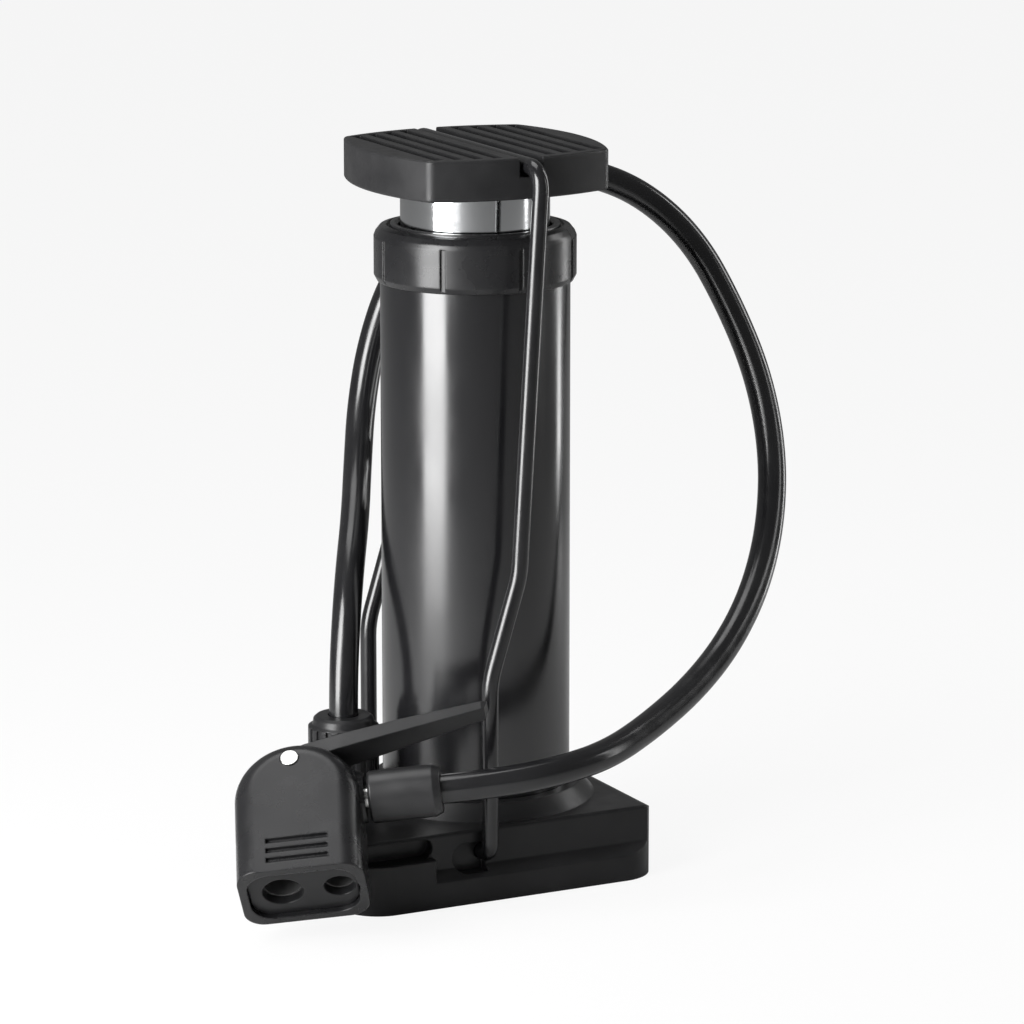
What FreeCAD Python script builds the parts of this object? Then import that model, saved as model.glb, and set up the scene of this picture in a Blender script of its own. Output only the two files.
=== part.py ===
import FreeCAD, Part
import math
import os
import re
import Sketcher

# Mini foot pump for bicycle tyres, stored with its pedal held down by the wire bail.
# Frame: millimetres, origin on the floor under the barrel's axis, +Z up, +X towards the
# base's plain end, -Y towards the side where the valve head hangs. The hose leaves the
# base at -X, climbs behind the barrel, arcs over at +X and comes back to the head.

SIZES = {
    # base
    "base_left": 44.0, "base_right": 31.0, "base_half": 31.3, "base_corner": 9.0,
    "plinth_top": 5.8, "ledge_top": 8.0, "block_half": 28.7, "block_top": 16.0,
    "end_round": 3.5, "base_edge": 0.7, "crown_foot": 27.5, "crown_head": 23.6, "crown_top": 19.5,
    "cheek_end": 25.0, "cheek_top": 11.0, "scoop_low": 11.0, "scoop_high": 15.4, "scoop_floor": 26.0,
    "cavity_half": 24.5, "cavity_wall": 3.0, "cavity_top": 13.5, "socket_wall": 2.5,
    "socket_floor": 7.0, "gasket_thick": 1.0, "fit_gap": 0.1,
    # bottom cover and its screws
    "cover_thick": 2.0, "cover_inset": 2.5, "cover_corner": 6.5,
    "screw_left": 33.0, "screw_right": 23.5, "screw_half": 21.5, "post_radius": 3.4,
    "screw_shank": 1.3, "screw_length": 9.0, "screw_head": 2.5, "screw_head_thick": 1.2,
    # barrel and collar
    "barrel_od": 42.0, "barrel_wall": 1.4, "barrel_top": 141.5,
    "collar_radius": 22.35, "collar_low": 132.8, "collar_skirt_top": 142.6, "collar_top": 145.4,
    "collar_mouth": 17.0, "seam_width": 1.1, "seam_depth": 0.45,
    "bush_low": 128.0, "bush_top": 139.5, "bush_gap": 0.1,
    # sleeve, piston and spring
    "sleeve_radius": 16.5, "sleeve_wall": 1.2, "piston_low": 34.0, "piston_thick": 10.0,
    "piston_spigot": 8.0, "piston_gap": 0.3, "groove_low": 37.4, "groove_high": 40.0,
    "seal_section": 1.15, "seal_gap": 0.05, "rivet_radius": 1.2, "rivet_depth": 5.0,
    "spring_wire": 0.9, "spring_coil": 15.0, "spring_turns": 9.0, "spring_gap": 0.15,
    # treadle
    "treadle_low": 154.0, "treadle_top": 163.0, "treadle_side": 26.2, "treadle_bow": 53.6,
    "treadle_corner": 2.6, "treadle_edge": 0.6, "socket_depth": 3.0, "plug_thick": 7.0,
    "rib_pitch": 4.3, "rib_groove": 2.3, "rib_depth": 1.5, "rib_count": 4.0, "rib_start": 6.6,
    "rib_margin": 2.6, "rib_taper": 0.9, "channel_width": 5.6, "channel_depth": 4.2,
    "bolt_place": 9.0, "bolt_shank": 1.7, "bolt_top": 160.4, "bolt_head": 3.2, "bolt_head_thick": 2.4,
    # bail
    "bail_wire": 1.85, "bail_half": 30.9, "pivot_x": -12.0, "pivot_z": 10.5, "bail_tip": 24.0,
    "joggle_low": 49.5, "joggle_high": 72.5, "joggle_x": -4.9, "bail_top_x": 0.5,
    "bail_bend": 4.9, "bail_foot_bend": 2.6, "joggle_bend": 22.0, "bail_gap": 0.35, "pivot_gap": 0.08,
    "recess_x": -16.8, "recess_z": 9.9, "recess_radius": 3.3, "recess_depth": 2.0,
    # outlet, check valve and nut
    "outlet_x": -32.8, "outlet_boss": 7.0, "outlet_boss_top": 22.0, "duct": 1.5, "duct_wall": 3.6, "duct_x": -15.0,
    "duct_top": 5.0, "seat_z": 8.0, "valve_chamber": 3.0, "ball_radius": 2.2, "ball_gap": 0.05,
    "check_wire": 0.4, "check_coil": 1.8, "check_turns": 3.0, "check_gap": 0.05,
    "nipple_low": 16.5, "nipple_radius": 3.9, "flange_radius": 4.8,
    "flange_thick": 4.0, "barb_radius": 3.0, "hose_start": 31.0, "air_bore": 1.6,
    "nut_radius": 7.85, "nut_top": 37.5, "nut_roof": 34.5, "nut_bore": 5.0, "nut_ribs": 18.0,
    "nut_groove": 0.55,
    # hose
    "hose_radius": 3.25, "hose_hole_gap": 0.15,
    # valve head, in its own frame: x towards the hose, -y its front, z from the valve face
    "head_x": -63.4, "head_y": -45.1, "head_z": 12.5, "head_yaw": -28.2, "head_pitch": -6.9,
    "head_roll": -52.3, "head_half_width": 13.5, "head_half_depth": 9.5, "head_tall": 34.6,
    "head_edge": 4.5, "face_setback": 1.2, "face_thick": 2.0, "face_half_width": 11.6,
    "face_half_depth": 7.6, "face_corner": 5.0, "schrader_x": -4.4, "presta_x": 7.8,
    "schrader_bore": 4.0, "presta_bore": 3.0, "schrader_cup": 5.6, "presta_cup": 4.3,
    "seal_top": 11.0, "chamber_top": 21.0, "chamber_left": 10.2, "chamber_right": 11.8,
    "chamber_half": 5.0, "pin_x": -0.9, "pin_z": 29.2, "pin_radius": 1.9, "pin_stand": 0.25,
    "cam_radius": 3.7, "cam_throw": 2.0, "cam_gap": 0.5, "slot_front": 7.3, "slot_back": -0.7,
    "slot_left": 7.4, "slot_right": 9.8, "slot_floor": 23.2, "shelf_z": 30.4, "shelf_x": 4.4,
    "lever_front": 7.0, "lever_back": -0.4, "lever_tip_x": 41.6, "lever_tip_z": 41.1,
    "lever_root_thick": 3.6, "lever_tip_thick": 2.2, "lever_tip_half": 2.1,
    "stem_radius": 2.9, "foot_thick": 2.0, "foot_rest": 13.3, "foot_half": 4.6,
    "pusher_radius": 1.1, "pusher_reach": 2.2, "guide_radius": 1.7, "guide_bore": 0.85,
    "guide_reach": 2.2, "port_z": 23.5, "port_inner": 9.2, "neck_radius": 5.3, "neck_root": 6.2,
    "neck_end": 14.3, "ferrule_start": 15.0, "ferrule_end": 30.6, "ferrule_radius": 5.7,
    "ferrule_rim": 0.8, "nipple_bore": 1.2, "head_nipple_radius": 2.4, "head_nipple_start": 10.4,
    "grip_pitch": 2.5, "grip_width": 1.25, "grip_depth": 0.9, "grip_low": 2.3, "grip_half": 6.6,
}

# The hose's route: points chosen by hand along its natural curve, from the nipple in the
# base to the ferrule on the valve head.
HOSE_ROUTE = [
    (-32.8, 0, 31), (-32.8, 0, 43.5), (-30.51, 3.5, 55.86),
    (-25.93, 10.97, 67.01), (-19.4, 21.8, 76.4), (-13.6, 32.6, 86.2),
    (-9, 40.4, 97.8), (-4.6, 44.2, 111), (1, 45.2, 124.4),
    (9.45, 44.26, 136.4), (20.56, 41.75, 145.39), (33.51, 38.35, 149.59),
    (46.9, 34.24, 148.76), (58.78, 29.38, 143.12), (68.41, 23.42, 132.53),
    (73.8, 16, 118), (76.6, 7.6, 103), (75.8, -0.6, 87.2),
    (71, -8.6, 72.8), (62.8, -16.6, 60.2), (51.2, -25, 50.2),
    (37.4, -33.2, 43), (22.2, -40.8, 37.8), (8.42, -47.71, 34.91),
    (-4.57, -50.4, 33.56), (-17.81, -48.46, 32.04), (-29.36, -42.27, 30.45),
]

doc = FreeCAD.newDocument("foot_pump")
sheet = doc.addObject("Spreadsheet::Sheet", "Sizes")
for row, (alias, number) in enumerate(SIZES.items(), start=1):
    sheet.set(f"A{row}", alias)
    sheet.set(f"B{row}", str(number))
    sheet.setAlias(f"B{row}", alias)
doc.recompute()

V = FreeCAD.Vector
BARREL_R = "barrel_od / 2"
BARREL_IN = "(barrel_od / 2 - barrel_wall)"


def read(alias):
    """A driving dimension, read from the sheet."""
    return float(getattr(sheet, alias))


def bound(text):
    """An expression of the sheet's aliases, as FreeCAD writes it."""
    def full(word):
        return f"Sizes.{word[0]}" if word[0] in SIZES else word[0]
    return re.sub(r"[a-z][a-z_]*", full, str(text))


def bind(item, **expressions):
    """Bind properties of an object to expressions; x, y and z are its place."""
    for name, text in expressions.items():
        target = f".Placement.Base.{name}" if name in "xyz" else name
        item.setExpression(target, bound(text))
    return item


def named(item, label):
    item.Label = label
    return item


# ---- sketches and bodies -------------------------------------------------------------

def origin_plane(body, role):
    return next(plane for plane in body.Origin.OriginFeatures if plane.Role == role)


def outline(body, role, corners):
    """A closed polygon on an origin plane, each corner bound to two expressions."""
    sketch = body.newObject("Sketcher::SketchObject", "Outline")
    sketch.AttachmentSupport = (origin_plane(body, role), [""])
    sketch.MapMode = "FlatFace"
    count = len(corners)
    step = 2 * math.pi / count
    begin = [V(100 * math.cos(step * k), 100 * math.sin(step * k), 0) for k in range(count)]
    for k in range(count):
        sketch.addGeometry(Part.LineSegment(begin[k], begin[(k + 1) % count]))
    for k in range(count):
        sketch.addConstraint(Sketcher.Constraint("Coincident", k, 2, (k + 1) % count, 1))
    for k, corner in enumerate(corners):
        for kind, text, start in zip(("DistanceX", "DistanceY"), corner, (begin[k].x, begin[k].y)):
            index = sketch.addConstraint(Sketcher.Constraint(kind, -1, 1, k, 1, start))
            sketch.setExpression(f"Constraints[{index}]", bound(text))
    return sketch


def turned(label, profile):
    """A body turned about its own Z axis from (radius, height) corners."""
    body = doc.addObject("PartDesign::Body", label)
    sketch = outline(body, "XZ_Plane", profile)
    turn = body.newObject("PartDesign::Revolution", "Turn")
    turn.Profile = sketch
    turn.ReferenceAxis = (sketch, ["V_Axis"])
    turn.Angle = 360
    doc.recompute()
    return body


def ring(label, inner, outer, low, high):
    return turned(label, [(inner, low), (outer, low), (outer, high), (inner, high)])


def padded(label, role, corners, length, midplane=False, reverse=False):
    """A body padded from a polygon on one of its origin planes."""
    body = doc.addObject("PartDesign::Body", label)
    sketch = outline(body, role, corners)
    pad = body.newObject("PartDesign::Pad", "Pad")
    pad.Profile = sketch
    pad.Midplane = midplane
    pad.Reversed = reverse
    bind(pad, Length=length)
    doc.recompute()
    return body


def rounded(body, radius, chosen):
    """Fillet the edges of a body's tip that the test picks."""
    solid = body.Tip
    names = [f"Edge{k}" for k, edge in enumerate(solid.Shape.Edges, start=1) if chosen(edge)]
    fillet = body.newObject("PartDesign::Fillet", "Round")
    fillet.Base = (solid, names)
    bind(fillet, Radius=radius)
    doc.recompute()
    return body


def upright(edge):
    box = edge.BoundBox
    return box.ZLength > 0.5 and box.XLength < 0.01 and box.YLength < 0.01


def slab(label, left, right, half, corner, low, thick):
    """A plate with rounded corners, from x = -left to x = right and y = -half to half."""
    near = f"-({half})"
    far = f"-({left})"
    body = padded(label, "XY_Plane", [(far, near), (right, near), (right, half), (far, half)], thick)
    rounded(body, corner, upright)
    return bind(body, z=low)


# ---- primitives and booleans ---------------------------------------------------------

TURNS = {
    "z": FreeCAD.Rotation(),
    "x": FreeCAD.Rotation(V(0, 1, 0), 90),
    "y": FreeCAD.Rotation(V(1, 0, 0), -90),
}


def rod(radius, length, place, along="z"):
    """A cylinder from a place along +X, +Y or +Z."""
    item = doc.addObject("Part::Cylinder", "Rod")
    item.Placement = FreeCAD.Placement(V(), TURNS[along])
    return bind(item, Radius=radius, Height=length, x=place[0], y=place[1], z=place[2])


def cone(foot, head, length, place, along="z"):
    item = doc.addObject("Part::Cone", "Cone")
    item.Placement = FreeCAD.Placement(V(), TURNS[along])
    return bind(item, Radius1=foot, Radius2=head, Height=length, x=place[0], y=place[1], z=place[2])


def block(x_span, y_span, z_span):
    item = doc.addObject("Part::Box", "Block")
    spans = dict(zip(("Length", "Width", "Height"), (x_span, y_span, z_span)))
    bind(item, **{name: f"({high}) - ({low})" for name, (low, high) in spans.items()})
    return bind(item, x=x_span[0], y=y_span[0], z=z_span[0])


def ball(radius, place):
    item = doc.addObject("Part::Sphere", "Ball")
    return bind(item, Radius=radius, x=place[0], y=place[1], z=place[2])


def fused(*items):
    union = doc.addObject("Part::MultiFuse", "Union")
    union.Shapes = list(items)
    doc.recompute()
    return union


def shared(*items):
    common = doc.addObject("Part::MultiCommon", "Overlap")
    common.Shapes = list(items)
    doc.recompute()
    return common


def cut(solid, *tools):
    result = doc.addObject("Part::Cut", "Trimmed")
    result.Base = solid
    result.Tool = tools[0] if len(tools) == 1 else fused(*tools)
    doc.recompute()
    return result


def group(*items):
    bundle = doc.addObject("Part::Compound", "Group")
    bundle.Links = list(items)
    doc.recompute()
    return bundle


# ---- wires and tubes -----------------------------------------------------------------

def rounded_path(points, radii):
    """Straight runs joined by tangent arcs, with a radius for each inner point."""
    edges = []
    start = points[0]
    for before, corner, after, radius in zip(points, points[1:], points[2:], radii):
        back = (before - corner).normalize()
        ahead = (after - corner).normalize()
        half_turn = (math.pi - back.getAngle(ahead)) / 2
        reach = radius * math.tan(half_turn)
        entry = corner + back * reach
        leave = corner + ahead * reach
        inward = (back + ahead).normalize()
        middle = corner + inward * (radius / math.cos(half_turn) - radius)
        edges.append(Part.LineSegment(start, entry).toShape())
        edges.append(Part.Arc(entry, middle, leave).toShape())
        start = leave
    edges.append(Part.LineSegment(start, points[-1]).toShape())
    return Part.Wire(edges)


def tube_along(path, radius):
    """A round solid swept along a path."""
    start = path.Edges[0]
    heading = start.tangentAt(start.FirstParameter)
    section = Part.Wire([Part.makeCircle(radius, start.valueAt(start.FirstParameter), heading)])
    return path.makePipeShell([section], True, False)


def coil_spring(label, wire, coil, turns, foot, high):
    """A helical spring whose wire's centre climbs from a foot point to a height."""
    rise = high - foot.z
    helix = Part.makeHelix(rise / read(turns), rise, read(coil))
    start = helix.Edges[0]
    heading = start.tangentAt(start.FirstParameter)
    section = Part.Wire([Part.makeCircle(read(wire), start.valueAt(start.FirstParameter), heading)])
    spiral = Part.Wire(helix.Edges).makePipeShell([section], True, True)
    shaped(label, spiral, FreeCAD.Placement(foot, FreeCAD.Rotation()))


def shaped(label, shape, place=None):
    feature = doc.addObject("Part::Feature", label)
    feature.Shape = shape
    if place is not None:
        feature.Placement = place
    return feature


# ---- base ----------------------------------------------------------------------------

def base_shell():
    """Stepped plinth with rounded plan corners and a low crown round the barrel."""
    section = [
        ("-base_half", "0"), ("base_half", "0"), ("base_half", "plinth_top"),
        ("block_half", "ledge_top"), ("block_half", "block_top"), ("-block_half", "block_top"),
        ("-block_half", "ledge_top"), ("-base_half", "plinth_top"),
    ]
    steps = padded("Steps", "YZ_Plane", section, "base_left + base_right")
    bind(steps, x="-base_left")
    top = read("block_top") - 0.01
    above_ledge = read("ledge_top") + 1
    rounded(steps, "end_round", lambda edge: edge.BoundBox.ZMin > top and edge.BoundBox.YLength > 10)
    rounded(steps, "base_edge", lambda edge: edge.BoundBox.ZMin > above_ledge and edge.BoundBox.XLength > 10)
    plan = slab("Plan", "base_left", "base_right", "base_half", "base_corner", "0", "crown_top")
    crown = cone("crown_foot", "crown_head", "crown_top - block_top + 1", ("0", "0", "block_top - 1"))
    cheek = slab("Cheek", "base_left", "-cheek_end", "base_half", "base_edge", "0", "cheek_top")
    boss = rod("outlet_boss", "outlet_boss_top - ledge_top", ("outlet_x", "0", "ledge_top"))
    stepped = shared(fused(steps, cheek), plan)
    return fused(stepped, crown, boss)


def base_cavity():
    """Hollow under the base, round the barrel's socket, the outlet and the screw posts."""
    room = block(("-base_left + cavity_wall", "base_right - cavity_wall"),
                 ("-cavity_half", "cavity_half"), ("cover_thick", "cavity_top"))
    keep = [
        rod(f"{BARREL_R} + socket_wall", "block_top", ("0", "0", "0")),
        rod("outlet_boss", "block_top", ("outlet_x", "0", "0")),
        block(("outlet_x", "0"), ("-duct_wall", "duct_wall"), ("0", "block_top")),
    ]
    keep += [rod("post_radius", "block_top", (x, y, "0")) for x, y in screw_places()]
    return cut(room, *keep)


def screw_places():
    return [(x, y) for x in ("-screw_left", "screw_right") for y in ("-screw_half", "screw_half")]


def bail_sockets():
    """A blind bore and a shallow round-ended recess in each side of the base."""
    depth = "base_half - bail_tip + 1"
    tools = [rod("bail_wire + pivot_gap", depth, ("pivot_x", y, "pivot_z"), "y")
             for y in ("bail_tip - 1", "-base_half")]
    for side in ("-base_half - 1", "block_half - recess_depth"):
        deep = "base_half - block_half + recess_depth + 1"
        tools.append(rod("recess_radius", deep, ("recess_x", side, "recess_z"), "y"))
        high = f"({side}) + {deep}"
        tools.append(block(("recess_x", "pivot_x"), (side, high),
                           ("recess_z - recess_radius", "recess_z + recess_radius")))
    return tools


def scoops():
    """A round-ended finger scoop along the top of each cheek."""
    mid = "(scoop_low + scoop_high) / 2"
    radius = "(scoop_high - scoop_low) / 2"
    end = f"-cheek_end - {radius}"
    tools = []
    for low, high in (("-base_half - 1", "-scoop_floor"), ("scoop_floor", "base_half + 1")):
        tools.append(rod(radius, f"({high}) - ({low})", (end, low, mid), "y"))
        tools.append(block(("-base_left - 1", end), (low, high), ("scoop_low", "scoop_high")))
    return tools


def make_base():
    nipple_room = "outlet_boss_top - nipple_low + 1"
    ducts = [
        rod("duct", "socket_floor - cover_thick + 1", ("duct_x", "0", "cover_thick")),
        block(("outlet_x", "duct_x"), ("-duct", "duct"), ("cover_thick", "duct_top")),
        rod("duct", "seat_z - cover_thick", ("outlet_x", "0", "cover_thick")),
        rod("valve_chamber", "nipple_low - seat_z", ("outlet_x", "0", "seat_z")),
        rod("nipple_radius + pivot_gap", nipple_room, ("outlet_x", "0", "nipple_low")),
    ]
    pilots = [rod("screw_shank + pivot_gap", "screw_length", (x, y, "cover_thick"))
              for x, y in screw_places()]
    seat = slab("Seat", "base_left - cover_inset", "base_right - cover_inset", "base_half - cover_inset",
                "cover_corner", "-1", "cover_thick + 1")
    socket = rod(f"{BARREL_R} + fit_gap", "crown_top", ("0", "0", "socket_floor"))
    body = cut(base_shell(), base_cavity(), socket, seat, *ducts, *pilots, *bail_sockets(), *scoops())
    named(body, "base_body")

    plate = slab("Plate", "base_left - cover_inset - fit_gap", "base_right - cover_inset - fit_gap",
                 "base_half - cover_inset - fit_gap", "cover_corner", "0", "cover_thick")
    holes = []
    for x, y in screw_places():
        holes.append(rod("screw_shank + fit_gap", "cover_thick + 2", (x, y, "-1")))
        holes.append(rod("screw_head + fit_gap", "screw_head_thick", (x, y, "0")))
    named(cut(plate, *holes), "bottom_cover")

    screws = []
    for x, y in screw_places():
        head = cut(rod("screw_head", "screw_head_thick - 0.2", (x, y, "0.2")),
                   block((f"{x} - 1.7", f"{x} + 1.7"), (f"{y} - 0.35", f"{y} + 0.35"), ("0", "0.7")))
        screws.append(fused(head, rod("screw_shank", "screw_length", (x, y, "1"))))
    named(group(*screws), "cover_screws")


# ---- barrel, collar and sleeve -------------------------------------------------------

def make_barrel():
    foot = "socket_floor + gasket_thick"
    ring("barrel", BARREL_IN, BARREL_R, foot, "barrel_top")
    ring("barrel_gasket", f"{BARREL_IN} - 2", BARREL_R, "socket_floor", foot)


def make_collar():
    inner = f"{BARREL_R} + fit_gap"
    profile = [
        (inner, "collar_low"), ("collar_radius - 0.7", "collar_low"), ("collar_radius", "collar_low + 1.3"),
        ("collar_radius", "collar_skirt_top"), ("collar_radius - 0.35", "collar_skirt_top + 0.9"),
        ("collar_radius - 1.3", "collar_top - 0.7"), ("collar_radius - 2.8", "collar_top - 0.3"),
        ("collar_radius - 3.1", "collar_top - 0.9"), ("collar_radius - 3.5", "collar_top - 0.9"),
        ("collar_radius - 3.7", "collar_top"), ("collar_mouth + 0.5", "collar_top"),
        ("collar_mouth", "collar_top - 0.5"), ("collar_mouth", "barrel_top"), (inner, "barrel_top"),
    ]
    body = turned("Collar", profile)
    seam = [("collar_radius - seam_depth", "-seam_width / 2"), ("collar_radius + 1", "-seam_width / 2"),
            ("collar_radius + 1", "seam_width / 2"), ("collar_radius - seam_depth", "seam_width / 2")]
    sketch = outline(body, "XY_Plane", seam)
    pocket = body.newObject("PartDesign::Pocket", "Seam")
    pocket.Profile = sketch
    pocket.Reversed = True
    bind(pocket, Length="collar_skirt_top")
    doc.recompute()
    repeat = body.newObject("PartDesign::PolarPattern", "Seams")
    repeat.Originals = [pocket]
    repeat.Axis = (sketch, ["N_Axis"])
    repeat.Angle = 360
    repeat.Occurrences = 8
    body.Tip = repeat
    doc.recompute()
    named(body, "collar_cap")
    ring("guide_bush", "sleeve_radius + bush_gap", f"{BARREL_IN} - fit_gap", "bush_low", "bush_top")
    ring("wiper_ring", "sleeve_radius + bush_gap", f"{BARREL_IN} - fit_gap", "bush_top", "barrel_top")


def make_sleeve():
    top = "treadle_low + socket_depth"
    spigot_low = "piston_low + piston_thick"
    inside = "sleeve_radius - sleeve_wall"
    rivet_z = f"{spigot_low} + piston_spigot / 2"
    tube = ring("Tube", inside, "sleeve_radius", spigot_low, top)
    drill = rod("rivet_radius + seal_gap", "sleeve_radius * 2 + 2", ("-sleeve_radius - 1", "0", rivet_z), "x")
    named(cut(tube, drill), "piston_sleeve")

    profile = [
        ("0", "piston_low"), (f"{BARREL_IN} - piston_gap", "piston_low"),
        (f"{BARREL_IN} - piston_gap", "groove_low"), (f"{BARREL_IN} - seal_section * 2 - 0.1", "groove_low"),
        (f"{BARREL_IN} - seal_section * 2 - 0.1", "groove_high"), (f"{BARREL_IN} - piston_gap", "groove_high"),
        (f"{BARREL_IN} - piston_gap", spigot_low), (f"{inside} - fit_gap", spigot_low),
        (f"{inside} - fit_gap", f"{spigot_low} + piston_spigot"), ("0", f"{spigot_low} + piston_spigot"),
    ]
    piston = turned("Piston", profile)
    bore = rod("rivet_radius + seal_gap", "sleeve_radius * 2", ("-sleeve_radius", "0", rivet_z), "x")
    named(cut(piston, bore), "piston_head")

    rivets = [rod("rivet_radius", "rivet_depth", (x, "0", rivet_z), "x")
              for x in ("sleeve_radius - rivet_depth", "-sleeve_radius")]
    named(group(*rivets), "piston_rivets")

    seal = doc.addObject("Part::Torus", "piston_seal")
    bind(seal, Radius1=f"{BARREL_IN} - seal_gap - seal_section", Radius2="seal_section",
         z="(groove_low + groove_high) / 2")

    plug = rod(f"{inside} - fit_gap", "plug_thick", ("0", "0", f"{top} - plug_thick"))
    holes = [rod("bolt_shank + fit_gap", "plug_thick + 2", (x, "0", f"{top} - plug_thick - 1"))
             for x in ("bolt_place", "-bolt_place")]
    named(cut(plug, *holes), "sleeve_plug")


def make_spring():
    """The return spring between the socket's floor and the piston."""
    gap = read("spring_wire") + read("spring_gap")
    coil_spring("return_spring", "spring_wire", "spring_coil", "spring_turns",
                V(0, 0, read("socket_floor") + gap), read("piston_low") - gap)


# ---- treadle and bail ----------------------------------------------------------------

def treadle_plate():
    """A square with four bowed sides, from four large discs that overlap."""
    offset = "(treadle_bow - treadle_side)"
    height = "treadle_top - treadle_low"
    places = [(offset, "0"), (f"-{offset}", "0"), ("0", offset), ("0", f"-{offset}")]
    pillow = shared(*[rod("treadle_bow", height, (x, y, "treadle_low")) for x, y in places])
    corners = doc.addObject("Part::Fillet", "Corners")
    corners.Base = pillow
    corners.Edges = [(k, read("treadle_corner"), read("treadle_corner"))
                     for k, edge in enumerate(pillow.Shape.Edges, start=1) if upright(edge)]
    doc.recompute()
    rims = doc.addObject("Part::Fillet", "Rims")
    rims.Base = corners
    rims.Edges = [(k, read("treadle_edge"), read("treadle_edge"))
                  for k, edge in enumerate(corners.Shape.Edges, start=1) if edge.BoundBox.ZLength < 0.01]
    doc.recompute()
    return rims


def make_treadle():
    tools = [
        rod("sleeve_radius + fit_gap", "socket_depth + 1", ("0", "0", "treadle_low - 1")),
        block(("bail_top_x - channel_width / 2", "bail_top_x + channel_width / 2"),
              ("-treadle_side - 1", "treadle_side + 1"),
              ("treadle_top - channel_depth", "treadle_top + 1")),
    ]
    reach = "treadle_side - rib_margin"
    for side in (1, -1):
        for step in range(int(read("rib_count"))):
            middle = f"bail_top_x * {1 - side} / 2 + {side} * (rib_start + {step} * rib_pitch)"
            shorter = f"({reach} - {step} * rib_taper)"
            tools.append(block((f"{middle} - rib_groove / 2", f"{middle} + rib_groove / 2"),
                               (f"-{shorter}", shorter), ("treadle_top - rib_depth", "treadle_top + 1")))
    tools += [rod("bolt_shank + fit_gap", "bolt_top + 0.3 - treadle_low", (x, "0", "treadle_low"))
              for x in ("bolt_place", "-bolt_place")]
    named(cut(treadle_plate(), *tools), "treadle")

    underside = "treadle_low + socket_depth - plug_thick"
    bolts = []
    for x in ("bolt_place", "-bolt_place"):
        head = rod("bolt_head", "bolt_head_thick", (x, "0", f"{underside} - bolt_head_thick"))
        bolts.append(fused(head, rod("bolt_shank", f"bolt_top - ({underside})", (x, "0", underside))))
    named(group(*bolts), "treadle_bolts")


def make_bail():
    """One round wire: two feet turned inwards, joggled legs and a crossbar over the treadle."""
    half = read("bail_half")
    bar_z = read("treadle_top") - read("channel_depth") + read("bail_wire") + read("bail_gap")
    side = [
        (read("pivot_x"), read("bail_tip"), read("pivot_z")),
        (read("pivot_x"), half, read("pivot_z")),
        (read("pivot_x"), half, read("joggle_low")),
        (read("joggle_x"), half, read("joggle_high")),
        (read("bail_top_x"), half, bar_z),
    ]
    points = [V(x, -y, z) for x, y, z in side] + [V(*corner) for corner in reversed(side)]
    bends = [read("bail_foot_bend"), read("joggle_bend"), read("joggle_bend"), read("bail_bend")]
    path = rounded_path(points, bends + bends[::-1])
    shaped("bail_wire", tube_along(path, read("bail_wire")))


# ---- outlet and hose -----------------------------------------------------------------

def make_outlet():
    profile = [
        ("air_bore", "nipple_low"), ("nipple_radius", "nipple_low"), ("nipple_radius", "outlet_boss_top"),
        ("flange_radius", "outlet_boss_top"), ("flange_radius", "outlet_boss_top + flange_thick"),
        ("barb_radius", "outlet_boss_top + flange_thick"), ("barb_radius", "hose_start"),
        ("air_bore", "hose_start"),
    ]
    bind(turned("outlet_nipple", profile), x="outlet_x")

    nut = turned("hose_nut", [
        ("nut_bore", "outlet_boss_top"), ("nut_radius - 0.6", "outlet_boss_top"),
        ("nut_radius", "outlet_boss_top + 0.8"), ("nut_radius", "nut_top - 2.4"),
        ("nut_radius - 0.9", "nut_top - 1.9"), ("nut_radius - 1.2", "nut_top - 0.6"),
        ("nut_radius - 1.9", "nut_top"), ("hose_radius + hose_hole_gap", "nut_top"),
        ("hose_radius + hose_hole_gap", "nut_roof"), ("nut_bore", "nut_roof"),
    ])
    sketch = outline(nut, "XY_Plane", [
        ("nut_radius - nut_groove", "-nut_groove"), ("nut_radius + 1", "-nut_groove * 1.6"),
        ("nut_radius + 1", "nut_groove * 1.6"), ("nut_radius - nut_groove", "nut_groove")])
    groove = nut.newObject("PartDesign::Pocket", "Groove")
    groove.Profile = sketch
    groove.Reversed = True
    bind(groove, Length="nut_top - 2.4")
    doc.recompute()
    repeat = nut.newObject("PartDesign::PolarPattern", "Grooves")
    repeat.Originals = [groove]
    repeat.Axis = (sketch, ["N_Axis"])
    repeat.Angle = 360
    bind(repeat, Occurrences="nut_ribs")
    nut.Tip = repeat
    bind(nut, x="outlet_x")
    doc.recompute()

    seated = "seat_z + sqrt(ball_radius ^ 2 - duct ^ 2) + ball_gap"
    named(ball("ball_radius", ("outlet_x", "0", seated)), "check_ball")
    ball_top = read("seat_z") + math.sqrt(read("ball_radius") ** 2 - read("duct") ** 2) + read("ball_radius")
    gap = read("check_wire") + read("check_gap")
    coil_spring("check_spring", "check_wire", "check_coil", "check_turns",
                V(read("outlet_x"), 0, ball_top + gap), read("nipple_low") - gap)


def bend_radii(points):
    """Each arc as large as its two runs allow."""
    radii = []
    for before, corner, after in zip(points, points[1:], points[2:]):
        turn = math.pi - (before - corner).getAngle(after - corner)
        shorter = min(before.distanceToPoint(corner), after.distanceToPoint(corner))
        radii.append(0.45 * shorter / math.tan(turn / 2))
    return radii


def make_hose():
    points = [V(*point) for point in HOSE_ROUTE]
    radii = bend_radii(points)
    path = rounded_path(points, radii)
    tube = tube_along(path, read("hose_radius"))
    section = math.pi * read("hose_radius") ** 2
    print("hose radii", [round(radius, 1) for radius in radii])
    print("hose length", round(path.Length, 1), "volume ratio", round(tube.Volume / (section * path.Length), 4))
    shaped("hose", tube)


# ---- valve head ----------------------------------------------------------------------

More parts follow.
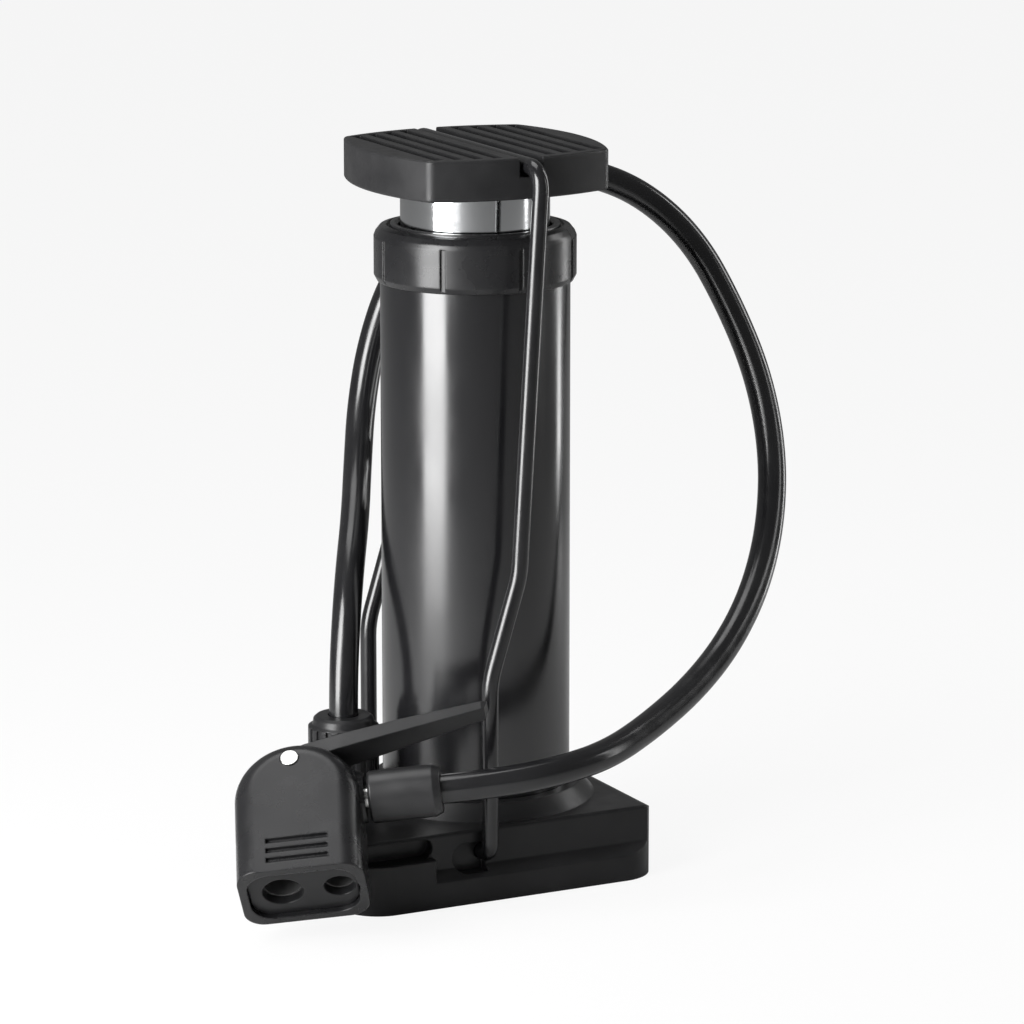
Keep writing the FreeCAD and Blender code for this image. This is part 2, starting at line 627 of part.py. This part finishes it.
def head_place():
    turn = FreeCAD.Rotation(read("head_yaw"), read("head_pitch"), read("head_roll"))
    return FreeCAD.Placement(V(read("head_x"), read("head_y"), read("head_z")), turn)


def on_head(item, label, own=FreeCAD.Placement()):
    """Name a piece made in the head's own frame, and put it where the head is."""
    doc.recompute()
    item.Placement = head_place().multiply(own)
    return named(item, label)


def along_port():
    """The port's axis: a turned piece's Z axis laid along the head's x."""
    return FreeCAD.Placement(V(0, 0, read("port_z")), TURNS["x"])


def head_shell():
    """An upright block with a round top, softened all round its front and back."""
    shoulder = "head_tall - head_half_width"
    trunk = block(("-head_half_width", "head_half_width"), ("-head_half_depth", "head_half_depth"),
                  ("0", shoulder))
    top = rod("head_half_width", "head_half_depth * 2", ("0", "-head_half_depth", shoulder), "y")
    solid = fused(trunk, top)
    refined = doc.addObject("Part::Refine", "Refined")
    refined.Source = solid
    doc.recompute()
    soft = doc.addObject("Part::Fillet", "Soft")
    soft.Base = refined
    depth = read("head_half_depth")
    radius = read("head_edge")

    def on_rim(edge):
        box = edge.BoundBox
        flat = box.YLength < 0.01 and abs(abs(box.YMin) - depth) < 0.01
        return flat and box.ZMax > 1
    soft.Edges = [(k, radius, radius) for k, edge in enumerate(refined.Shape.Edges, start=1) if on_rim(edge)]
    doc.recompute()
    return soft


def grips():
    """Three finger grooves low on the head's front."""
    depth = ("-head_half_depth - 1", "-head_half_depth + grip_depth")
    lows = [f"grip_low + {step} * grip_pitch" for step in range(3)]
    return [block(("-grip_half", "grip_half"), depth, (low, f"{low} + grip_width")) for low in lows]


def make_head():
    neck = cone("neck_root", "neck_radius", "neck_end - head_half_width + 1.5",
                ("head_half_width - 1.5", "0", "port_z"), "x")
    face_room = slab("FaceRoom", "face_half_width + fit_gap", "face_half_width + fit_gap",
                     "face_half_depth + fit_gap", "face_corner", "-1", "face_setback + face_thick + 1")
    cups = [rod("schrader_cup + pivot_gap", "seal_top", ("schrader_x", "0", "0")),
            rod("presta_cup + pivot_gap", "seal_top", ("presta_x", "0", "0"))]
    rooms = [
        block(("-chamber_left", "chamber_right"), ("-chamber_half", "chamber_half"),
              ("seal_top", "chamber_top")),
        rod("stem_radius + pivot_gap", "pin_z - cam_radius - chamber_top + 1",
            ("pin_x", "0", "chamber_top - 1")),
        block(("-slot_left", "shelf_x"), ("-slot_front", "-slot_back"), ("slot_floor", "head_tall + 1")),
        block(("shelf_x - 1", "slot_right"), ("-slot_front", "-slot_back"), ("shelf_z", "head_tall + 1")),
        rod("pin_radius + pivot_gap", "head_half_depth * 2 + 2",
            ("pin_x", "-head_half_depth - 1", "pin_z"), "y"),
        rod("head_nipple_radius + pivot_gap", "neck_end - head_nipple_start + 1",
            ("head_nipple_start", "0", "port_z"), "x"),
        rod("nipple_bore", "head_nipple_start - port_inner + 1", ("port_inner", "0", "port_z"), "x"),
        rod("nipple_bore", "port_z - chamber_top + 1", ("port_inner + nipple_bore", "0", "chamber_top - 1")),
    ]
    shell = cut(fused(head_shell(), neck), face_room, *cups, *rooms, *grips())
    on_head(shell, "head_body")

    plate = slab("FacePlate", "face_half_width", "face_half_width", "face_half_depth", "face_corner",
                 "face_setback", "face_thick")
    holes = [rod("schrader_bore + 0.4", "8", ("schrader_x", "0", "-1")),
             rod("presta_bore + 0.4", "8", ("presta_x", "0", "-1"))]
    on_head(cut(plate, *holes), "face_plate")

    seal_low = "face_setback + face_thick"
    for label, bore, cup, x in (("schrader_seal", "schrader_bore", "schrader_cup", "schrader_x"),
                                ("presta_seal", "presta_bore", "presta_cup", "presta_x")):
        seal = ring(label, bore, cup, seal_low, "seal_top")
        on_head(seal, label, FreeCAD.Placement(V(read(x), 0, 0), FreeCAD.Rotation()))

    pin = doc.addObject("Part::Cylinder", "Pin")
    bind(pin, Radius="pin_radius", Height="(head_half_depth + pin_stand) * 2")
    front = -read("head_half_depth") - read("pin_stand")
    on_head(pin, "lever_pin", FreeCAD.Placement(V(read("pin_x"), front, read("pin_z")), TURNS["y"]))


def make_lever():
    """A strap with an eccentric cam at its root, tapered towards its tip."""
    middle = "(lever_front + lever_back) / 2"
    side = [
        ("pin_x - 1.5", "pin_z + 1"), ("pin_x + 4.2", "pin_z + 1.6"),
        ("lever_tip_x - 0.4", "lever_tip_z - lever_tip_thick / 2"),
        ("lever_tip_x + 0.3", "lever_tip_z + lever_tip_thick / 2"),
        ("lever_tip_x / 2 + 2", "(lever_tip_z + pin_z + lever_root_thick) / 2 + 1.9"),
        ("pin_x + 3", "pin_z + lever_root_thick + 1.6"), ("pin_x - 2.4", "pin_z + lever_root_thick - 0.1"),
    ]
    strap = padded("Strap", "XZ_Plane", side, "lever_front - lever_back")
    bind(strap, y="-lever_back")
    tip_end = "lever_tip_x + 2"
    tip_start = "lever_tip_x - 1"
    plan = [
        ("-10", "-lever_front"), ("10", "-lever_front"),
        (tip_start, f"-{middle} - lever_tip_half"), (tip_end, f"-{middle} - lever_tip_half + 1.2"),
        (tip_end, f"-{middle} + lever_tip_half - 1.2"), (tip_start, f"-{middle} + lever_tip_half"),
        ("10", "-lever_back"), ("-10", "-lever_back"),
    ]
    taper = padded("Taper", "XY_Plane", plan, "60")
    cam = rod("cam_radius", "lever_front - lever_back", ("pin_x - cam_throw", "-lever_front", "pin_z"), "y")
    boss = rod("cam_radius", "lever_front - lever_back", ("pin_x", "-lever_front", "pin_z"), "y")
    upper = cut(boss, block(("-20", "20"), ("-20", "20"), ("0", "pin_z")))
    hole = rod("pin_radius + fit_gap", "lever_front * 3", ("pin_x", "-lever_front * 2", "pin_z"), "y")
    on_head(cut(fused(shared(strap, taper), cam, upper), hole), "lock_lever")


def make_plunger():
    """The plunger under the cam: a foot over both seals and a stem up to the cam."""
    stem_top = "pin_z - cam_radius - cam_gap"
    foot = block(("-chamber_left + 0.4", "chamber_right - 0.4"), ("-foot_half", "foot_half"),
                 ("foot_rest", "foot_rest + foot_thick"))
    stem = rod("stem_radius", f"{stem_top} - foot_rest", ("pin_x", "0", "foot_rest"))
    pegs = [rod("pusher_radius", "foot_thick + 2", ("schrader_x", "0", "foot_rest - 1")),
            rod("guide_radius", "foot_thick + 2", ("presta_x", "0", "foot_rest - 1"))]
    on_head(cut(fused(foot, stem), *pegs), "head_plunger")
    tip = "foot_rest - pusher_reach + pusher_radius"
    pusher = fused(rod("pusher_radius", f"foot_rest + foot_thick - ({tip})", ("schrader_x", "0", tip)),
                   ball("pusher_radius", ("schrader_x", "0", tip)))
    on_head(pusher, "schrader_pusher")
    low = "foot_rest - guide_reach"
    guide = cut(rod("guide_radius", "guide_reach + foot_thick", ("presta_x", "0", low)),
                rod("guide_bore", "guide_reach + foot_thick + 2", ("presta_x", "0", f"{low} - 1")))
    on_head(guide, "presta_guide")


def make_ferrule():
    profile = [
        ("head_nipple_radius + fit_gap", "ferrule_start"), ("ferrule_radius - 0.5", "ferrule_start"),
        ("ferrule_radius", "ferrule_start + 0.5"), ("ferrule_radius", "ferrule_end - 1.6"),
        ("ferrule_radius - ferrule_rim", "ferrule_end"), ("head_nipple_radius + fit_gap", "ferrule_end"),
    ]
    on_head(turned("Ferrule", profile), "hose_ferrule", along_port())
    nipple = ring("Nipple", "nipple_bore", "head_nipple_radius", "head_nipple_start", "ferrule_end")
    on_head(nipple, "head_nipple", along_port())


# ---- the whole pump ------------------------------------------------------------------

NODES = [
    "base_body", "bottom_cover", "cover_screws", "barrel", "barrel_gasket", "collar_cap", "guide_bush",
    "wiper_ring", "piston_sleeve", "sleeve_plug", "piston_head", "piston_rivets", "piston_seal",
    "return_spring", "treadle", "treadle_bolts", "bail_wire", "outlet_nipple", "check_ball",
    "check_spring", "hose_nut", "hose", "hose_ferrule", "head_nipple", "head_body", "face_plate",
    "schrader_seal", "presta_seal", "schrader_pusher", "presta_guide", "head_plunger", "lever_pin",
    "lock_lever",
]


def main():
    make_base()
    make_barrel()
    make_collar()
    make_sleeve()
    make_spring()
    make_treadle()
    make_bail()
    make_outlet()
    make_hose()
    make_head()
    make_lever()
    make_plunger()
    make_ferrule()
    doc.recompute()

    failed = [item.Label for item in doc.Objects if {"Invalid", "Error"} & set(item.State)]
    assert not failed, f"failed objects: {failed}"
    pieces = {label: doc.getObjectsByLabel(label)[0] for label in NODES}
    for label, piece in pieces.items():
        assert not piece.Shape.isNull() and piece.Shape.isValid(), f"bad shape: {label}"
        assert piece.Shape.Volume > 0, f"no volume: {label}"
    os.makedirs("parts", exist_ok=True)
    for label, piece in pieces.items():
        piece.Shape.exportStep(f"parts/{label}.step")
    print("wrote", len(pieces), "nodes")


main()
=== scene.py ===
import bpy
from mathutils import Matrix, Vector


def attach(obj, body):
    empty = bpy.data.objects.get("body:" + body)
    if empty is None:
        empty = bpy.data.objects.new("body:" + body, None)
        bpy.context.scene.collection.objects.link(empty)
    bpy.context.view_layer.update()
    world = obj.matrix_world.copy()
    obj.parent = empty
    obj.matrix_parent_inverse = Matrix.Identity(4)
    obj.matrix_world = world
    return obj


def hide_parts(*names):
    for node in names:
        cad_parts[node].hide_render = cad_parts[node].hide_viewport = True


# Mini foot pump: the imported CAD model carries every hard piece, and this script gives each
# its finish, runs the hose as one smooth curve and sets the studio. Metres, CAD frame.

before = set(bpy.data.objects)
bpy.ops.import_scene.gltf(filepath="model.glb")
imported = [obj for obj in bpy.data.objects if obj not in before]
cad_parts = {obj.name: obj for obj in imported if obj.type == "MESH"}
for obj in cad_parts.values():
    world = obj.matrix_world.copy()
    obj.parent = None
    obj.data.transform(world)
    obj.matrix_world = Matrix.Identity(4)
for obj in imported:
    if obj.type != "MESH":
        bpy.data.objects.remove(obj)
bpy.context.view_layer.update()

CAMERA_LENS_MM = 171
CAMERA_PLACE = (-0.4726, -0.9454, 0.3144)
CAMERA_AIM = (0.00722, -0.00368, 0.0801)

HOSE_DIAMETER = 0.0065
HOSE_ROUTE_MM = [
    (-32.8, 0, 31), (-32.8, 0, 43.5), (-30.51, 3.5, 55.86),
    (-25.93, 10.97, 67.01), (-19.4, 21.8, 76.4), (-13.6, 32.6, 86.2),
    (-9, 40.4, 97.8), (-4.6, 44.2, 111), (1, 45.2, 124.4),
    (9.45, 44.26, 136.4), (20.56, 41.75, 145.39), (33.51, 38.35, 149.59),
    (46.9, 34.24, 148.76), (58.78, 29.38, 143.12), (68.41, 23.42, 132.53),
    (73.8, 16, 118), (76.6, 7.6, 103), (75.8, -0.6, 87.2),
    (71, -8.6, 72.8), (62.8, -16.6, 60.2), (51.2, -25, 50.2),
    (37.4, -33.2, 43), (22.2, -40.8, 37.8), (8.42, -47.71, 34.91),
    (-4.57, -50.4, 33.56), (-17.81, -48.46, 32.04), (-29.36, -42.27, 30.45),
]
HOSE_RING_STEPS = 8
HOSE_LENGTH_STEPS = 24

# Most of a noise texture's values lie between these two.
NOISE_FLOOR = 0.3
NOISE_CEILING = 0.7
EDGE_SAMPLES = 6
GRAIN_DETAIL = 4

FLOOR_SIZE = 6
FLOOR_GREY = 0.5
FLOOR_ROUGHNESS = 0.9
FLOOR_GLOW_TO_CAMERA = 0.9
SKY_TO_CAMERA = 1.0
SKY_TO_OBJECT = 0.22

# Name, place, aim, size in metres and power in watts.
LIGHTS = [
    ("key", (-0.95, -0.5, 0.4), (0, 0, 0.09), (0.5, 0.9), 8),
    ("left_strip", (-0.32, -0.08, 0.19), (0, 0, 0.13), (0.18, 0.42), 4.2),
    ("right_strip", (0.34, 0.02, 0.2), (0, 0, 0.14), (0.05, 0.4), 0.5),
    ("rim", (0.8, -0.5, 0.3), (0, 0, 0.09), (0.1, 0.8), 1.5),
    ("top", (-0.1, 0.3, 1.1), (0, 0, 0.1), (0.6, 0.6), 4),
]


# ---- camera --------------------------------------------------------------------------

def make_camera():
    lens = bpy.data.cameras.new("camera")
    lens.lens = CAMERA_LENS_MM
    camera = bpy.data.objects.new("camera", lens)
    camera.location = CAMERA_PLACE
    aim = Vector(CAMERA_AIM) - camera.location
    camera.rotation_euler = aim.to_track_quat("-Z", "Y").to_euler()
    bpy.context.collection.objects.link(camera)
    bpy.context.scene.camera = camera


# ---- the hose ------------------------------------------------------------------------

def make_hose():
    curve = bpy.data.curves.new("hose_tube", "CURVE")
    curve.dimensions = "3D"
    curve.bevel_depth = 1
    curve.bevel_resolution = HOSE_RING_STEPS
    curve.resolution_u = HOSE_LENGTH_STEPS
    curve.use_fill_caps = True
    spline = curve.splines.new("NURBS")
    spline.points.add(len(HOSE_ROUTE_MM) - 1)
    for point, place in zip(spline.points, HOSE_ROUTE_MM):
        point.co = (*(value / 1000 for value in place), 1)
        point.radius = HOSE_DIAMETER / 2
    spline.order_u = 3
    spline.use_endpoint_u = True
    hose = bpy.data.objects.new("hose_tube", curve)
    bpy.context.collection.objects.link(hose)
    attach(hose, "base")
    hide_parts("hose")
    return hose


# ---- materials -----------------------------------------------------------------------

class Finish:
    """A Principled material built up from noise layers in object space, in metres."""

    def __init__(self, name, color, roughness, metallic=0.0, specular=0.5):
        self.name = name
        self.material = bpy.data.materials.new(name)
        self.material.use_nodes = True
        self.nodes = self.material.node_tree.nodes
        self.links = self.material.node_tree.links
        self.shader = self.nodes["Principled BSDF"]
        self.color = color
        self.roughness = roughness
        self.shader.inputs["Base Color"].default_value = (*color, 1)
        self.shader.inputs["Roughness"].default_value = roughness
        self.shader.inputs["Metallic"].default_value = metallic
        self.shader.inputs["Specular IOR Level"].default_value = specular
        self.place = self.nodes.new("ShaderNodeTexCoord").outputs["Object"]
        self.normal = None

    def noise(self, scale, detail=3.0, stretch=(1, 1, 1)):
        """Noise whose features are about 1/scale metres across."""
        mapping = self.nodes.new("ShaderNodeMapping")
        mapping.inputs["Scale"].default_value = stretch
        self.links.new(self.place, mapping.inputs["Vector"])
        texture = self.nodes.new("ShaderNodeTexNoise")
        texture.inputs["Scale"].default_value = scale
        texture.inputs["Detail"].default_value = detail
        self.links.new(mapping.outputs["Vector"], texture.inputs["Vector"])
        return texture.outputs["Fac"]

    def spread(self, value, low, high):
        ramp = self.nodes.new("ShaderNodeMapRange")
        ramp.inputs["From Min"].default_value = NOISE_FLOOR
        ramp.inputs["From Max"].default_value = NOISE_CEILING
        ramp.inputs["To Min"].default_value = low
        ramp.inputs["To Max"].default_value = high
        self.links.new(value, ramp.inputs["Value"])
        return ramp.outputs["Result"]

    def vary_color(self, other, scale, stretch=(1, 1, 1)):
        mix = self.nodes.new("ShaderNodeMix")
        mix.data_type = "RGBA"
        mix.inputs["A"].default_value = (*self.color, 1)
        mix.inputs["B"].default_value = (*other, 1)
        self.links.new(self.spread(self.noise(scale, stretch=stretch), 0, 1), mix.inputs["Factor"])
        self.links.new(mix.outputs["Result"], self.shader.inputs["Base Color"])
        return self

    def vary_roughness(self, amount, scale, stretch=(1, 1, 1)):
        value = self.spread(self.noise(scale, stretch=stretch),
                            self.roughness - amount, self.roughness + amount)
        self.links.new(value, self.shader.inputs["Roughness"])
        return self

    def soft_edges(self, radius):
        bevel = self.nodes.new("ShaderNodeBevel")
        bevel.samples = EDGE_SAMPLES
        bevel.inputs["Radius"].default_value = radius
        self.normal = bevel.outputs["Normal"]
        self.links.new(self.normal, self.shader.inputs["Normal"])
        return self

    def grain(self, scale, depth, strength, stretch=(1, 1, 1)):
        bump = self.nodes.new("ShaderNodeBump")
        bump.inputs["Strength"].default_value = strength
        bump.inputs["Distance"].default_value = depth
        self.links.new(self.noise(scale, GRAIN_DETAIL, stretch), bump.inputs["Height"])
        if self.normal:
            self.links.new(self.normal, bump.inputs["Normal"])
        self.normal = bump.outputs["Normal"]
        self.links.new(self.normal, self.shader.inputs["Normal"])
        return self


def finishes():
    """Every finish on the pump, by name."""
    moulded = Finish("moulded_black", (0.006, 0.006, 0.0065), 0.34, specular=0.22)
    moulded.vary_color((0.01, 0.01, 0.0105), 60).vary_roughness(0.05, 180)
    moulded.soft_edges(0.0005).grain(1400, 0.00002, 0.35)

    tread = Finish("tread_black", (0.008, 0.008, 0.0085), 0.44, specular=0.25)
    tread.vary_color((0.013, 0.013, 0.0135), 80).vary_roughness(0.06, 220)
    tread.soft_edges(0.0005).grain(1100, 0.00003, 0.5)

    satin = Finish("satin_black", (0.005, 0.005, 0.0055), 0.28, specular=0.3)
    satin.vary_color((0.009, 0.009, 0.0095), 70).vary_roughness(0.05, 160)
    satin.soft_edges(0.0005).grain(1600, 0.00001, 0.3)

    enamel = Finish("enamel_black", (0.0035, 0.0035, 0.004), 0.2, specular=0.6)
    enamel.vary_color((0.005, 0.005, 0.0055), 40).vary_roughness(0.06, 90, (1, 1, 0.4))
    enamel.soft_edges(0.0003).grain(260, 0.00001, 0.12)

    wire = Finish("coated_wire", (0.004, 0.004, 0.0045), 0.2, specular=0.45)
    wire.vary_color((0.007, 0.007, 0.0075), 120).vary_roughness(0.05, 260)
    wire.grain(420, 0.00001, 0.2)

    chrome = Finish("chrome", (0.66, 0.67, 0.68), 0.09, metallic=1.0)
    chrome.vary_color((0.6, 0.61, 0.62), 90, (1, 1, 0.15)).vary_roughness(0.03, 160, (1, 1, 6))
    chrome.grain(300, 0.000004, 0.15, (1, 1, 5))

    hose = Finish("hose_rubber", (0.004, 0.004, 0.0045), 0.2, specular=0.45)
    hose.vary_color((0.007, 0.007, 0.0075), 90).vary_roughness(0.05, 220)
    hose.grain(700, 0.00001, 0.25)

    nylon = Finish("dark_nylon", (0.009, 0.009, 0.0095), 0.34, specular=0.3)
    nylon.vary_color((0.014, 0.014, 0.0145), 110).vary_roughness(0.06, 240)
    nylon.soft_edges(0.0004).grain(1500, 0.00001, 0.35)

    steel = Finish("bright_steel", (0.62, 0.62, 0.61), 0.24, metallic=1.0)
    steel.vary_color((0.5, 0.5, 0.49), 400).vary_roughness(0.06, 900)
    steel.soft_edges(0.0002).grain(2200, 0.000006, 0.3)

    seal = Finish("seal_rubber", (0.02, 0.02, 0.02), 0.62)
    seal.vary_color((0.03, 0.03, 0.03), 200).vary_roughness(0.08, 400)
    seal.soft_edges(0.0003).grain(1800, 0.00002, 0.4)
    return {finish.name: finish.material
            for finish in (moulded, tread, satin, enamel, wire, chrome, hose, nylon, steel, seal)}


NODE_FINISH = {
    "base_body": "moulded_black", "bottom_cover": "moulded_black", "cover_screws": "bright_steel",
    "barrel": "enamel_black", "barrel_gasket": "seal_rubber", "collar_cap": "satin_black",
    "guide_bush": "dark_nylon", "wiper_ring": "seal_rubber", "piston_sleeve": "chrome",
    "sleeve_plug": "dark_nylon", "piston_head": "dark_nylon", "piston_rivets": "bright_steel",
    "piston_seal": "seal_rubber", "return_spring": "bright_steel", "treadle": "tread_black",
    "treadle_bolts": "bright_steel", "bail_wire": "coated_wire", "outlet_nipple": "bright_steel",
    "check_ball": "bright_steel", "check_spring": "bright_steel", "hose_nut": "moulded_black",
    "hose_ferrule": "dark_nylon", "head_nipple": "bright_steel", "head_body": "satin_black",
    "face_plate": "moulded_black", "schrader_seal": "seal_rubber", "presta_seal": "seal_rubber",
    "schrader_pusher": "bright_steel", "presta_guide": "bright_steel", "head_plunger": "dark_nylon",
    "lever_pin": "bright_steel", "lock_lever": "dark_nylon",
}


def dress(made):
    for node, finish in NODE_FINISH.items():
        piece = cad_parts[node]
        piece.data.materials.clear()
        piece.data.materials.append(made[finish])


# ---- studio --------------------------------------------------------------------------

def make_floor():
    bpy.ops.mesh.primitive_plane_add(size=FLOOR_SIZE, location=(0, 0, 0))
    floor = bpy.context.object
    floor.name = "floor"
    paper = bpy.data.materials.new("floor_paper")
    paper.use_nodes = True
    nodes = paper.node_tree.nodes
    links = paper.node_tree.links
    shader = nodes["Principled BSDF"]
    shader.inputs["Base Color"].default_value = (FLOOR_GREY, FLOOR_GREY, FLOOR_GREY, 1)
    shader.inputs["Roughness"].default_value = FLOOR_ROUGHNESS
    floor.data.materials.append(paper)
    rays = nodes.new("ShaderNodeLightPath")
    glow = nodes.new("ShaderNodeEmission")
    mix = nodes.new("ShaderNodeMixShader")
    fade = nodes.new("ShaderNodeMath")
    fade.operation = "MULTIPLY"
    fade.inputs[1].default_value = FLOOR_GLOW_TO_CAMERA
    links.new(rays.outputs["Is Camera Ray"], fade.inputs[0])
    links.new(fade.outputs[0], mix.inputs["Fac"])
    links.new(shader.outputs["BSDF"], mix.inputs[1])
    links.new(glow.outputs["Emission"], mix.inputs[2])
    links.new(mix.outputs["Shader"], nodes["Material Output"].inputs["Surface"])


def area_light(name, place, aim, size, power):
    lamp = bpy.data.lights.new(name, "AREA")
    lamp.shape = "RECTANGLE"
    lamp.size, lamp.size_y = size
    lamp.energy = power
    light = bpy.data.objects.new(name, lamp)
    light.location = place
    light.visible_camera = False
    light.rotation_euler = (Vector(aim) - Vector(place)).to_track_quat("-Z", "Y").to_euler()
    bpy.context.collection.objects.link(light)


def make_world():
    """Grey to the object, white to the camera."""
    world = bpy.data.worlds.new("studio")
    world.use_nodes = True
    nodes = world.node_tree.nodes
    links = world.node_tree.links
    rays = nodes.new("ShaderNodeLightPath")
    sky = nodes["Background"]
    sky.inputs["Color"].default_value = (1, 1, 1, 1)
    level = nodes.new("ShaderNodeMapRange")
    level.inputs["To Min"].default_value = SKY_TO_OBJECT
    level.inputs["To Max"].default_value = SKY_TO_CAMERA
    links.new(rays.outputs["Is Camera Ray"], level.inputs["Value"])
    links.new(level.outputs["Result"], sky.inputs["Strength"])
    bpy.context.scene.world = world


def make_studio():
    make_floor()
    make_world()
    for name, place, aim, size, power in LIGHTS:
        area_light(name, place, aim, size, power)
    bpy.context.scene.view_settings.view_transform = "Standard"


def main():
    make_camera()
    hose = make_hose()
    made = finishes()
    dress(made)
    hose.data.materials.append(made["hose_rubber"])
    make_studio()


main()
